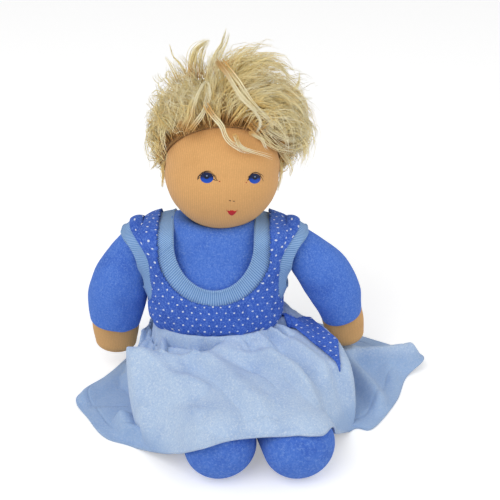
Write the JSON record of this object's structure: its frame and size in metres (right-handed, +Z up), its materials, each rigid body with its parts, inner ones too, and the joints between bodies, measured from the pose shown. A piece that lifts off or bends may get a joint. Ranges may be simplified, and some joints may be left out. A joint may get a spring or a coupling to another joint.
{
  "type": "waldorf doll",
  "caption": "Sitting cloth doll with round wool-stuffed head, mohair hair, velour arms and legs, and a gathered dress with ribbed bindings and a pocket.",
  "frame": {"origin": "middle of the flat of the seat, on the surface that the doll sits on", "axes": "+Z up, the torso faces -Y, +X is towards the left arm of the doll"},
  "size_m": [0.317, 0.2669, 0.3125],
  "materials": {
    "velour": "plain cotton velour with a soft sheen",
    "dotted_velour": "blue cotton velour with small white dots",
    "skirt_velour": "pale blue fine corded velour",
    "ribbing": "light blue knitted ribbing",
    "skin": "skin-coloured cotton jersey",
    "mohair": "brushed mohair yarn",
    "wig": "crocheted mohair cap",
    "wool": "carded wool",
    "thread": "strong linen thread",
    "blue_thread": "strong blue thread"
  },
  "bodies": {
    "torso": {"torso_cover": "velour", "torso_stuffing": "wool", "neck_binding": "ribbing", "bodice_front": "dotted_velour", "bodice_back": "dotted_velour", "right_armhole_binding": "ribbing", "left_armhole_binding": "ribbing", "skirt": "skirt_velour", "pocket": "dotted_velour"},
    "neck_tie": {"neck_thread": "thread"},
    "head": {"head_cover": "skin", "head_core": "wool", "eye_line_thread": "thread", "wig_cap": "wig", "hair": "mohair"},
    "right_shoulder": {"right_shoulder_thread": "blue_thread"},
    "right_arm": {"right_sleeve": "velour", "right_arm_stuffing": "wool", "right_hand": "skin"},
    "left_shoulder": {"left_shoulder_thread": "blue_thread"},
    "left_arm": {"left_sleeve": "velour", "left_arm_stuffing": "wool", "left_hand": "skin"},
    "right_leg": {"right_leg_cover": "velour", "right_leg_stuffing": "wool"},
    "left_leg": {"left_leg_cover": "velour", "left_leg_stuffing": "wool"}
  },
  "joints": [
    {"name": "head_turn", "type": "hinge", "parent": "torso", "child": "neck_tie", "pos_m": [0, -0.00343, 0.14881], "axis": [0, 0.1392, 0.9903], "range_deg": [-30, 30]},
    {"name": "head_nod", "type": "hinge", "parent": "neck_tie", "child": "head", "pos_m": [0, -0.00343, 0.14881], "axis": [1, 0, 0], "range_deg": [-12, 12]},
    {"name": "right_arm_swing", "type": "hinge", "parent": "torso", "child": "right_shoulder", "pos_m": [-0.066, -0.00455, 0.14089], "axis": [-1, 0, 0], "range_deg": [-30, 100]},
    {"name": "right_arm_lift", "type": "hinge", "parent": "right_shoulder", "child": "right_arm", "pos_m": [-0.066, -0.00455, 0.14089], "axis": [0, 1, 0], "range_deg": [-3, 80], "deforming": ["right_armhole_binding"]},
    {"name": "left_arm_swing", "type": "hinge", "parent": "torso", "child": "left_shoulder", "pos_m": [0.066, -0.00455, 0.14089], "axis": [-1, 0, 0], "range_deg": [-30, 100]},
    {"name": "left_arm_lift", "type": "hinge", "parent": "left_shoulder", "child": "left_arm", "pos_m": [0.066, -0.00455, 0.14089], "axis": [0, -1, 0], "range_deg": [-3, 80], "deforming": ["left_armhole_binding"]},
    {"name": "left_hip", "type": "hinge", "parent": "torso", "child": "left_leg", "pos_m": [0.032, -0.03245, 0.0285], "axis": [1, 0, 0], "range_deg": [-10, 90], "deforming": ["skirt", "pocket"]},
    {"name": "right_hip", "type": "hinge", "parent": "torso", "child": "right_leg", "pos_m": [-0.032, -0.03245, 0.0285], "axis": [1, 0, 0], "range_deg": [-10, 90]}
  ],
  "couplings": [
    {"joint": "right_hip", "follows": "left_hip", "ratio": 1}
  ]
}
